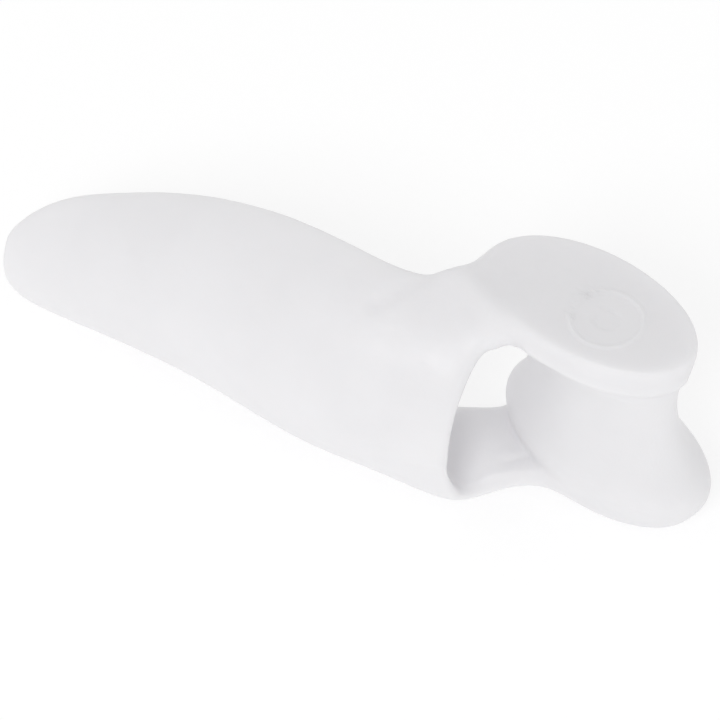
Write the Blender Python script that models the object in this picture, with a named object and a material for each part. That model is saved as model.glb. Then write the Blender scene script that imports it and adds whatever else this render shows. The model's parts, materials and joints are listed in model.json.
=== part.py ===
# Gel bunion shield with a toe loop and a toe spreader, moulded in one piece.
# Metres, +Z up. +X points to the tips of the toes and +Y to the second toe. The
# part rests on the foot of the spreader and the lower edge of the shield.

import math
from collections import namedtuple

import bmesh
import bpy
from mathutils import Matrix, Vector

MM = 0.001
NAME = "toe_spreader"

# Shield: the long cupped tongue that lies over the joint
SHIELD_LENGTH = 64 * MM
SHIELD_HEIGHT = 29.5 * MM
SHIELD_BOW = 12.5 * MM
SHIELD_WALL = 2.9 * MM
SHIELD_EDGE_WALL = 2.0 * MM

# Toe loop: the near side of the ring around the big toe, with its two bands
LOOP_WIDTH = 11.5 * MM
LOOP_HEIGHT = 26.2 * MM
LOOP_BOW = 6 * MM
LOOP_WALL = 2.9 * MM

# Toe spreader: a spool with an oval plate above and a rounded foot below
SPREADER_HEIGHT = 30 * MM
SPREADER_LENGTH = 28 * MM
SPREADER_WIDTH = 16 * MM
SPREADER_FORWARD = 8.6 * MM
SPREADER_ACROSS = 17.3 * MM
SPREADER_TURN = math.radians(-3)

# Body colour: milky white gel
GEL_COLOUR = (0.80, 0.80, 0.81, 1)
GEL_ROUGHNESS = 0.45

SMOOTH_LEVELS = 2
ACROSS_COUNT = 6
ROUND_COUNT = 12
PATCH_FROM = 6
PATCH_TURN = math.radians(14)

# The sections across the shield, from its tip to the toe loop. Along is a share
# of the shield's length, back from the front edge of the loop. Height, side and
# lift are shares of its height: the chord's length and where its lower end is.
# Bow is a share of its bow, wall of its wall, and the lean is in degrees.
Section = namedtuple("Section", "along height bow lean side lift rake wall")
SHIELD_SECTIONS = (
    Section(1.000, 0.26, 0.08, 10, -0.13, 0.19, 0, 0.80),
    Section(0.965, 0.50, 0.24, 12, -0.10, 0.07, 0, 0.90),
    Section(0.910, 0.65, 0.40, 14, -0.05, 0.02, 0, 1.00),
    Section(0.810, 0.75, 0.58, 15, 0.01, 0.00, 0, 1.00),
    Section(0.680, 0.87, 0.76, 14, 0.08, -0.01, 0, 1.00),
    Section(0.520, 0.96, 0.90, 13, 0.13, -0.01, 0, 1.00),
    Section(0.360, 1.03, 0.97, 12, 0.12, -0.01, 0, 1.00),
    Section(0.270, 1.02, 0.91, 14, 0.10, -0.01, 0.02, 1.00),
)

# The sections of the toe loop's near side, in the same columns, as shares of the
# loop's width, height, bow and wall. Rake is how far the top leads the bottom.
LOOP_SECTIONS = (
    Section(1.10, 1.15, 1.84, 16, 0.10, 0.000, 0.22, 1),
    Section(0.52, 1.12, 1.50, 14, 0.12, 0.000, 0.12, 1),
    Section(-0.11, 1.00, 1.00, 8, 0.12, 0.01, -0.05, 1),
)

# The rings of the spreader, from its foot to its plate. Rise is a share of the
# height, and dip how much lower the front is than the rear; length and width are
# shares of the plate's; shift and aside move the middle of the ring forward and
# across, as shares of the length and width.
Ring = namedtuple("Ring", "rise dip length width shift aside")
SPREADER_RINGS = (
    Ring(0.000, 0.00, 0.40, 0.36, 0.13, 0.05),
    Ring(0.000, 0.00, 0.72, 0.62, 0.13, 0.05),
    Ring(0.020, 0.00, 0.86, 0.80, 0.13, 0.05),
    Ring(0.115, 0.12, 0.91, 0.85, 0.13, 0.05),
    Ring(0.210, 0.06, 1.04, 1.00, 0.14, 0.05),
    Ring(0.300, 0.08, 1.02, 0.98, 0.13, 0.05),
    Ring(0.390, 0.08, 0.87, 0.82, 0.12, 0.03),
    Ring(0.520, 0.06, 0.73, 0.64, 0.11, 0.02),
    Ring(0.700, 0.00, 0.71, 0.62, 0.09, 0.02),
    Ring(0.820, 0.00, 0.88, 0.84, 0.04, 0.01),
    Ring(0.870, 0.00, 1.01, 1.02, 0.00, 0.01),
    Ring(0.970, 0.00, 1.04, 1.04, 0.00, 0.02),
    Ring(1.002, 0.00, 1.00, 0.99, 0.01, 0.02),
    Ring(1.000, 0.00, 0.90, 0.88, 0.01, 0.02),
)

# The two bands between the loop's near side and the spreader: the edge of the
# near side and the rings that they join, how far the middle of the outer and the
# inner face stands out, how much further the inner one does at the front edge, and
# how far the rear edge is moved back and up.
Band = namedtuple("Band", "edge outer_ring inner_ring out_by in_by lip back rise")
BANDS = (
    Band(0, 2, 3, -0.4 * MM, 0.4 * MM, 1.0 * MM, 1.5 * MM, 4.4 * MM),
    Band(-1, 12, 10, 1.0 * MM, 2.4 * MM, 0.2 * MM, 0.5 * MM, 0.4 * MM),
)


def mix(a, b, share):
    return a + (b - a) * share


def stand_off(step):
    """How far the points stand outside a curve that smoothing then brings back."""
    return 3 / (2 + math.cos(step))


def arc_rows(s, length, height, bow, wall, edge_wall, size):
    """Outer and inner points of a section, from its lower edge to its upper one."""
    half = height * s.height / 2
    bow = bow * s.bow
    radius = (half * half + bow * bow) / (2 * bow)
    angle = math.atan2(half, radius - bow)
    grow = stand_off(2 * angle / ACROSS_COUNT)
    lean = math.radians(s.lean)
    outer, inner = [], []
    for step in range(ACROSS_COUNT + 1):
        q = 2 * step / ACROSS_COUNT - 1
        turn = angle * q
        thick = mix(wall, edge_wall, q * q) * s.wall
        for row, r in ((outer, radius * grow), (inner, (radius - thick) * grow)):
            y = radius - bow - r * math.cos(turn)
            z = half + r * math.sin(turn)
            row.append(Vector((
                (q * s.rake - s.along) * length,
                size * s.side + y * math.cos(lean) + z * math.sin(lean),
                size * s.lift - y * math.sin(lean) + z * math.cos(lean),
            )))
    return outer, inner


def shield_rows():
    rows = [
        arc_rows(s, SHIELD_LENGTH, SHIELD_HEIGHT, SHIELD_BOW, SHIELD_WALL,
                 SHIELD_EDGE_WALL, SHIELD_HEIGHT)
        for s in SHIELD_SECTIONS
    ]
    rows += [
        arc_rows(s, LOOP_WIDTH, LOOP_HEIGHT, LOOP_BOW, LOOP_WALL, LOOP_WALL, LOOP_HEIGHT)
        for s in LOOP_SECTIONS
    ]
    return rows


def spreader_ring(ring):
    grow = stand_off(math.tau / ROUND_COUNT) / 2
    points = []
    for step in range(ROUND_COUNT):
        turn = PATCH_TURN + math.tau * step / ROUND_COUNT
        along = SPREADER_LENGTH * (ring.shift + ring.length * math.cos(turn) * grow)
        across = SPREADER_WIDTH * (ring.aside + ring.width * math.sin(turn) * grow)
        points.append(Vector((
            SPREADER_FORWARD + along * math.cos(SPREADER_TURN) - across * math.sin(SPREADER_TURN),
            SPREADER_ACROSS + along * math.sin(SPREADER_TURN) + across * math.cos(SPREADER_TURN),
            SPREADER_HEIGHT * (ring.rise - ring.dip * math.cos(turn) / 2),
        )))
    return points


def add_grid(bm, rows):
    for lower, upper in zip(rows, rows[1:]):
        for a, b, c, d in zip(lower, lower[1:], upper[1:], upper):
            bm.faces.new((a, b, c, d))


def add_strip(bm, near, far):
    """A closed strip of faces between two rings of points."""
    for i in range(len(near)):
        j = (i + 1) % len(near)
        bm.faces.new((near[i], near[j], far[j], far[i]))


def add_band(bm, band, outer, inner, rings):
    """A band of the loop, with one ring of points at its middle."""
    columns = range(PATCH_FROM, PATCH_FROM + len(LOOP_SECTIONS))
    near = [[row[band.edge] for row in side] for side in (outer, inner)]
    far = [[rings[ring][i] for i in columns] for ring in (band.outer_ring, band.inner_ring)]
    down = 1 if band.inner_ring > band.outer_ring else -1
    middle = []
    for i in range(len(LOOP_SECTIONS)):
        rear = 1 - i / (len(LOOP_SECTIONS) - 1)
        shift = Vector((-band.back * rear, 0, band.rise * rear))
        ends = [(near[side][i].co + far[side][i].co) / 2 + shift for side in (0, 1)]
        out = (ends[0] - ends[1]).normalized()
        middle.append((
            bm.verts.new(ends[0] + out * band.out_by),
            bm.verts.new(ends[1] - out * (band.in_by + band.lip * (1 - rear))),
        ))
    middle = list(zip(*middle))
    loops = [list(side[0]) + list(side[1])[::-1] for side in (near, middle)]
    add_strip(bm, loops[0], loops[1])
    for side in (0, 1):
        add_grid(bm, (middle[side], far[side]))
    for end in (0, -1):
        between = [rings[i][columns[end]] for i in range(band.outer_ring + down, band.inner_ring, down)]
        bm.faces.new((middle[0][end], far[0][end], *between, far[1][end], middle[1][end]))


def build_mesh():
    bm = bmesh.new()
    rows = [
        ([bm.verts.new(p) for p in outer], [bm.verts.new(p) for p in inner])
        for outer, inner in shield_rows()
    ]
    outer = [row[0] for row in rows]
    inner = [row[1] for row in rows]
    add_grid(bm, outer)
    add_grid(bm, inner)
    loop_from = len(rows) - len(LOOP_SECTIONS)
    for edge in (0, -1):
        for i in range(loop_from):
            bm.faces.new((outer[i][edge], outer[i + 1][edge], inner[i + 1][edge], inner[i][edge]))
    for end in (0, -1):
        add_grid(bm, (outer[end], inner[end]))

    rings = [[bm.verts.new(p) for p in spreader_ring(ring)] for ring in SPREADER_RINGS]
    open_levels = [
        level
        for band in BANDS
        for level in range(*sorted((band.outer_ring, band.inner_ring)))
    ]
    open_columns = range(PATCH_FROM, PATCH_FROM + len(LOOP_SECTIONS) - 1)
    for level, (low, high) in enumerate(zip(rings, rings[1:])):
        for i in range(ROUND_COUNT):
            if level not in open_levels or i not in open_columns:
                j = (i + 1) % ROUND_COUNT
                bm.faces.new((low[i], low[j], high[j], high[i]))
    for ring in (rings[0], rings[-1]):
        centre = bm.verts.new(sum((v.co for v in ring), Vector()) / ROUND_COUNT)
        for i in range(ROUND_COUNT):
            bm.faces.new((ring[i], ring[(i + 1) % ROUND_COUNT], centre))
    for band in BANDS:
        add_band(bm, band, outer[loop_from:], inner[loop_from:], rings)

    bmesh.ops.recalc_face_normals(bm, faces=bm.faces)
    mesh = bpy.data.meshes.new(NAME)
    bm.to_mesh(mesh)
    bm.free()
    return mesh


def gel_material():
    material = bpy.data.materials.new("gel")
    material.use_nodes = True
    shader = material.node_tree.nodes["Principled BSDF"]
    shader.inputs["Base Color"].default_value = GEL_COLOUR
    shader.inputs["Roughness"].default_value = GEL_ROUGHNESS
    shader.inputs["Metallic"].default_value = 0
    return material


def centre_on_floor(obj):
    """Moves the mesh so that the smoothed part stands on z = 0, centred on the origin."""
    bpy.context.view_layer.update()
    smoothed = obj.evaluated_get(bpy.context.evaluated_depsgraph_get())
    points = [vertex.co.copy() for vertex in smoothed.to_mesh().vertices]
    smoothed.to_mesh_clear()
    low, high = (Vector(pick(axis) for axis in zip(*points)) for pick in (min, max))
    obj.data.transform(Matrix.Translation((-(low.x + high.x) / 2, -(low.y + high.y) / 2, -low.z)))


def main():
    for obj in list(bpy.data.objects):
        bpy.data.objects.remove(obj, do_unlink=True)
    obj = bpy.data.objects.new(NAME, build_mesh())
    bpy.context.scene.collection.objects.link(obj)
    obj.data.materials.append(gel_material())
    smooth = obj.modifiers.new("smooth", "SUBSURF")
    smooth.levels = SMOOTH_LEVELS
    smooth.render_levels = SMOOTH_LEVELS
    centre_on_floor(obj)
    obj.data.shade_smooth()


main()
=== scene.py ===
import json
import math

import bmesh
import bpy
import numpy as np
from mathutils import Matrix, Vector

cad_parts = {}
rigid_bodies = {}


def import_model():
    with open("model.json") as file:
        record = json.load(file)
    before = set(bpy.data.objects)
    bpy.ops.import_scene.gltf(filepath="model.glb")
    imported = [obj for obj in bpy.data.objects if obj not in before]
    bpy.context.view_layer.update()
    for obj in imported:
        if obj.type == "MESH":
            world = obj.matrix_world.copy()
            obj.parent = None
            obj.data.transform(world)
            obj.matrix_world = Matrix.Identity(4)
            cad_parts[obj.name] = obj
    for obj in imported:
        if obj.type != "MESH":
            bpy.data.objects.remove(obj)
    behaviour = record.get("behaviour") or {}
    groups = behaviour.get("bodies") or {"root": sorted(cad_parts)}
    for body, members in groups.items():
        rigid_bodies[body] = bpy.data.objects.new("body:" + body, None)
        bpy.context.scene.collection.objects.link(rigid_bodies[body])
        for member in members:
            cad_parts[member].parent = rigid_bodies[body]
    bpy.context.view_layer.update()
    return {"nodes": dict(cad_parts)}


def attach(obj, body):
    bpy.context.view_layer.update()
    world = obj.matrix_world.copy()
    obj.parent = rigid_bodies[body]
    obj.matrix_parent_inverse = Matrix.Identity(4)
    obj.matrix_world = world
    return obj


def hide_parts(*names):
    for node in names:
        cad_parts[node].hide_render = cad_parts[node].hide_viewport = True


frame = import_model()
mm = 0.001
print("frame loaded")


def deselectAll():
    if bpy.context.object and bpy.context.object.mode != "OBJECT":
        bpy.ops.object.mode_set(mode="OBJECT")
    bpy.ops.object.select_all(action="DESELECT")


def workOn(piece):
    # only this piece is selected, and it is active
    deselectAll()
    piece.select_set(True)
    bpy.context.view_layer.objects.active = piece


def towards(azimuth, elevation):
    # the direction to something at an angle round the object and above the floor
    around = math.radians(azimuth)
    above = math.radians(elevation)
    return Vector((math.sin(around) * math.cos(above), -math.cos(around) * math.cos(above), math.sin(above)))


def turnedTo(direction):
    return (-direction).to_track_quat("-Z", "Y").to_euler()


# Camera
camera = {
    "aim": Vector((3.4, -5.2, 15.0)) * mm,
    "distance": 432 * mm,
    "azimuth": 35.7,
    "elevation": 50,
    "lens": 180,
}


def addCamera():
    back = towards(camera["azimuth"], camera["elevation"])
    bpy.ops.object.camera_add(location=camera["aim"] + back * camera["distance"], rotation=turnedTo(back))
    eye = bpy.context.object
    eye.data.lens = camera["lens"]
    eye.data.clip_start = 10 * mm
    bpy.context.scene.camera = eye


addCamera()
print("camera in place")

# The gel body, from a merged copy of the solid
body = {
    "mergeBelow": 0.002 * mm,
    "quadAngle": math.radians(60),
    "levels": 2,
    "waveSize": 7 * mm,
    "waveHeight": 0.10 * mm,
}


def copyOfNode(name, piece):
    copied = bpy.data.objects.new(piece, frame["nodes"][name].data.copy())
    bpy.context.scene.collection.objects.link(copied)
    workOn(copied)
    bpy.ops.object.mode_set(mode="EDIT")
    bpy.ops.mesh.select_all(action="SELECT")
    bpy.ops.mesh.remove_doubles(threshold=body["mergeBelow"])
    bpy.ops.mesh.tris_convert_to_quads(face_threshold=body["quadAngle"], shape_threshold=body["quadAngle"])
    bpy.ops.object.mode_set(mode="OBJECT")
    return copied


def smoothOut(piece, levels):
    smooth = piece.modifiers.new("smooth", "SUBSURF")
    smooth.levels = levels
    smooth.render_levels = levels
    workOn(piece)
    bpy.ops.object.modifier_apply(modifier=smooth.name)


def addWaves(piece):
    # the slight unevenness of a soft moulding
    clouds = bpy.data.textures.new("gelWaves", "CLOUDS")
    clouds.noise_scale = body["waveSize"]
    waves = piece.modifiers.new("waves", "DISPLACE")
    waves.texture = clouds
    waves.texture_coords = "LOCAL"
    waves.strength = body["waveHeight"]
    workOn(piece)
    bpy.ops.object.modifier_apply(modifier=waves.name)


# The small forms on it: each runs along a line of points, in millimetres, and stands
# out or is pressed in by its height
reliefs = {
    "rimCrest": {
        "points": ((24.5, -0.9, 26.9), (28.0, -1.2, 26.6), (33.0, -0.4, 26.3), (38.5, 2.2, 26.3), (41.3, 6.0, 26.6)),
        "width": 0.9, "height": 0.35,
    },
    "underRim": {
        "points": ((28.0, -0.4, 24.3), (33.0, 0.4, 23.9), (38.5, 3.0, 24.0), (41.0, 6.5, 24.3)),
        "width": 1.0, "height": -0.35,
    },
    "bandLip": {
        "points": ((19.5, -5.5, 3.4), (21.5, -2.8, 3.6), (23.2, -1.2, 3.8), (25.9, 0.6, 4.1)),
        "width": 0.6, "height": 0.25,
    },
    "bandCrease": {"points": ((21.8, -0.8, 4.2), (24.0, 1.4, 5.0)), "width": 0.5, "height": -0.18},
    "shoulderCrease": {"points": ((6.0, -5.6, 27.4), (6.8, -4.5, 27.9), (9.2, 0.4, 29.1)), "width": 1.1, "height": -0.28},
    "edgeTrough": {"points": ((12.5, -12.4, 10.4), (18.4, -11.2, 9.4)), "width": 2.2, "height": -0.45},
    "flowLine": {"points": ((16.4, -12.0, 11.2), (18.9, -10.8, 11.6)), "width": 0.35, "height": 0.12},
}
# The plain ring and dimple that the mould leaves in the plate
mouldMark = {
    "centre": Vector((30.3, 6.2, 30.0)) * mm,
    "radius": 4.3 * mm,
    "width": 0.30 * mm,
    "height": 0.16 * mm,
    "dimpleRadius": 1.6 * mm,
    "dimpleDepth": 0.14 * mm,
    "margin": 1.2 * mm,
    "heightRange": 2.5 * mm,
    "cuts": 3,
}


def readPoints(piece, name):
    values = np.zeros(len(piece.data.vertices) * 3, np.float32)
    piece.data.vertices.foreach_get(name, values)
    return values.reshape(-1, 3).astype(float)


def distanceTo(points, start, end):
    along = end - start
    share = np.clip((points - start) @ along / (along @ along), 0, 1)
    return np.linalg.norm(points - start - share[:, None] * along, axis=1)


def pressReliefs(piece):
    points = readPoints(piece, "co")
    normals = readPoints(piece, "normal")
    moved = points.copy()
    for relief in reliefs.values():
        line = np.array(relief["points"]) * mm
        near = np.min([distanceTo(points, start, end) for start, end in zip(line, line[1:])], axis=0)
        share = np.exp(-((near / (relief["width"] * mm)) ** 2))
        moved += normals * (share * relief["height"] * mm)[:, None]
    piece.data.vertices.foreach_set("co", moved.astype(np.float32).ravel())
    piece.data.update()


def refinePlate(piece):
    # a finer mesh where the mark goes
    workOn(piece)
    bpy.ops.object.mode_set(mode="EDIT")
    bpy.ops.mesh.select_all(action="DESELECT")
    mesh = bmesh.from_edit_mesh(piece.data)
    for face in mesh.faces:
        away = face.calc_center_median() - mouldMark["centre"]
        ring = abs(away.xy.length - mouldMark["radius"]) < mouldMark["margin"]
        middle = away.xy.length < mouldMark["dimpleRadius"] + mouldMark["margin"]
        face.select = (ring or middle) and abs(away.z) < mouldMark["heightRange"] and face.normal.z > 0.7
    mesh.select_flush(True)
    bmesh.update_edit_mesh(piece.data)
    bpy.ops.mesh.subdivide(number_cuts=mouldMark["cuts"])
    bpy.ops.object.mode_set(mode="OBJECT")


def pressMark(piece):
    points = readPoints(piece, "co")
    away = points - np.array(mouldMark["centre"])
    onPlate = np.abs(away[:, 2]) < mouldMark["heightRange"]
    reach = np.linalg.norm(away[:, :2], axis=1)
    ring = np.exp(-(((reach - mouldMark["radius"]) / mouldMark["width"]) ** 2))
    dimple = 1 / (1 + np.exp((reach - mouldMark["dimpleRadius"]) / (mouldMark["width"] / 3)))
    points[:, 2] += onPlate * (ring * mouldMark["height"] - dimple * mouldMark["dimpleDepth"])
    piece.data.vertices.foreach_set("co", points.astype(np.float32).ravel())
    piece.data.update()


gelBody = copyOfNode("toe_spreader", "gel_guard")
smoothOut(gelBody, body["levels"])
pressReliefs(gelBody)
addWaves(gelBody)
refinePlate(gelBody)
pressMark(gelBody)
print("gel body:", len(gelBody.data.polygons), "faces")

# The gel's finish: milky, cloudy inside, with the faint grain of the mould
gel = {
    "milk": (0.785, 0.78, 0.795, 1),
    "cloud": (0.80, 0.795, 0.81, 1),
    "cloudSize": 9 * mm,
    "subsurface": 0.5,
    "reach": 3 * mm,
    "tint": (1.0, 0.97, 0.95),
    "gloss": (0.36, 0.50),
    "smearSize": 4 * mm,
    "grainSize": 0.35 * mm,
    "grainDepth": 0.012 * mm,
    "dentSize": 2.5 * mm,
    "dentDepth": 0.05 * mm,
}


def addNoise(nodes, links, where, size, detail):
    noise = nodes.new("ShaderNodeTexNoise")
    noise.inputs["Scale"].default_value = 1 / size
    noise.inputs["Detail"].default_value = detail
    links.new(where.outputs["Object"], noise.inputs["Vector"])
    return noise


def addBump(nodes, links, noise, depth, under):
    bump = nodes.new("ShaderNodeBump")
    bump.inputs["Distance"].default_value = depth
    links.new(noise.outputs["Fac"], bump.inputs["Height"])
    if under:
        links.new(under.outputs["Normal"], bump.inputs["Normal"])
    return bump


def gelMaterial():
    material = bpy.data.materials.new("milky_gel")
    material.use_nodes = True
    nodes = material.node_tree.nodes
    links = material.node_tree.links
    shader = nodes["Principled BSDF"]
    where = nodes.new("ShaderNodeTexCoord")

    clouds = addNoise(nodes, links, where, gel["cloudSize"], 3)
    tones = nodes.new("ShaderNodeValToRGB")
    tones.color_ramp.elements[0].position = 0.35
    tones.color_ramp.elements[0].color = gel["milk"]
    tones.color_ramp.elements[1].position = 0.65
    tones.color_ramp.elements[1].color = gel["cloud"]
    links.new(clouds.outputs["Fac"], tones.inputs["Fac"])
    links.new(tones.outputs["Color"], shader.inputs["Base Color"])

    smears = addNoise(nodes, links, where, gel["smearSize"], 4)
    gloss = nodes.new("ShaderNodeMapRange")
    gloss.inputs["From Min"].default_value = 0.3
    gloss.inputs["From Max"].default_value = 0.7
    gloss.inputs["To Min"].default_value = gel["gloss"][0]
    gloss.inputs["To Max"].default_value = gel["gloss"][1]
    links.new(smears.outputs["Fac"], gloss.inputs["Value"])
    links.new(gloss.outputs["Result"], shader.inputs["Roughness"])

    dents = addBump(nodes, links, addNoise(nodes, links, where, gel["dentSize"], 2), gel["dentDepth"], None)
    grain = addBump(nodes, links, addNoise(nodes, links, where, gel["grainSize"], 1), gel["grainDepth"], dents)
    links.new(grain.outputs["Normal"], shader.inputs["Normal"])

    shader.inputs["Subsurface Weight"].default_value = gel["subsurface"]
    shader.inputs["Subsurface Radius"].default_value = gel["tint"]
    shader.inputs["Subsurface Scale"].default_value = gel["reach"]
    return material


gelBody.data.materials.clear()
gelBody.data.materials.append(gelMaterial())
workOn(gelBody)
bpy.ops.object.shade_smooth()
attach(gelBody, "root")
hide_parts("toe_spreader")
print("gel finished")

# Floor and soft light
studio = {
    "floorSize": 6,
    "floorColour": (0.5, 0.5, 0.5, 1),
    "floorGlow": 0.54,
    "surround": 0.78,
}
lights = {
    "key": {"azimuth": 15, "elevation": 42, "distance": 1.0, "size": 0.3, "power": 2.0},
}


def addFloor():
    bpy.ops.mesh.primitive_plane_add(size=studio["floorSize"])
    floor = bpy.context.object
    floor.name = "floor"
    material = bpy.data.materials.new("floor")
    material.use_nodes = True
    shader = material.node_tree.nodes["Principled BSDF"]
    shader.inputs["Base Color"].default_value = studio["floorColour"]
    shader.inputs["Roughness"].default_value = 0.9
    shader.inputs["Emission Color"].default_value = (1, 1, 1, 1)
    shader.inputs["Emission Strength"].default_value = studio["floorGlow"]
    floor.data.materials.append(material)


def addSurround():
    world = bpy.data.worlds.new("studio")
    world.use_nodes = True
    background = world.node_tree.nodes["Background"]
    background.inputs["Color"].default_value = (1, 1, 1, 1)
    background.inputs["Strength"].default_value = studio["surround"]
    bpy.context.scene.world = world


def addLight(name):
    settings = lights[name]
    back = towards(settings["azimuth"], settings["elevation"])
    bpy.ops.object.light_add(type="AREA", location=back * settings["distance"], rotation=turnedTo(back))
    lamp = bpy.context.object
    lamp.name = name
    lamp.data.energy = settings["power"]
    lamp.data.size = settings["size"]


addFloor()
addSurround()
for light in lights:
    addLight(light)
bpy.context.scene.view_settings.view_transform = "Standard"
print("studio in place")
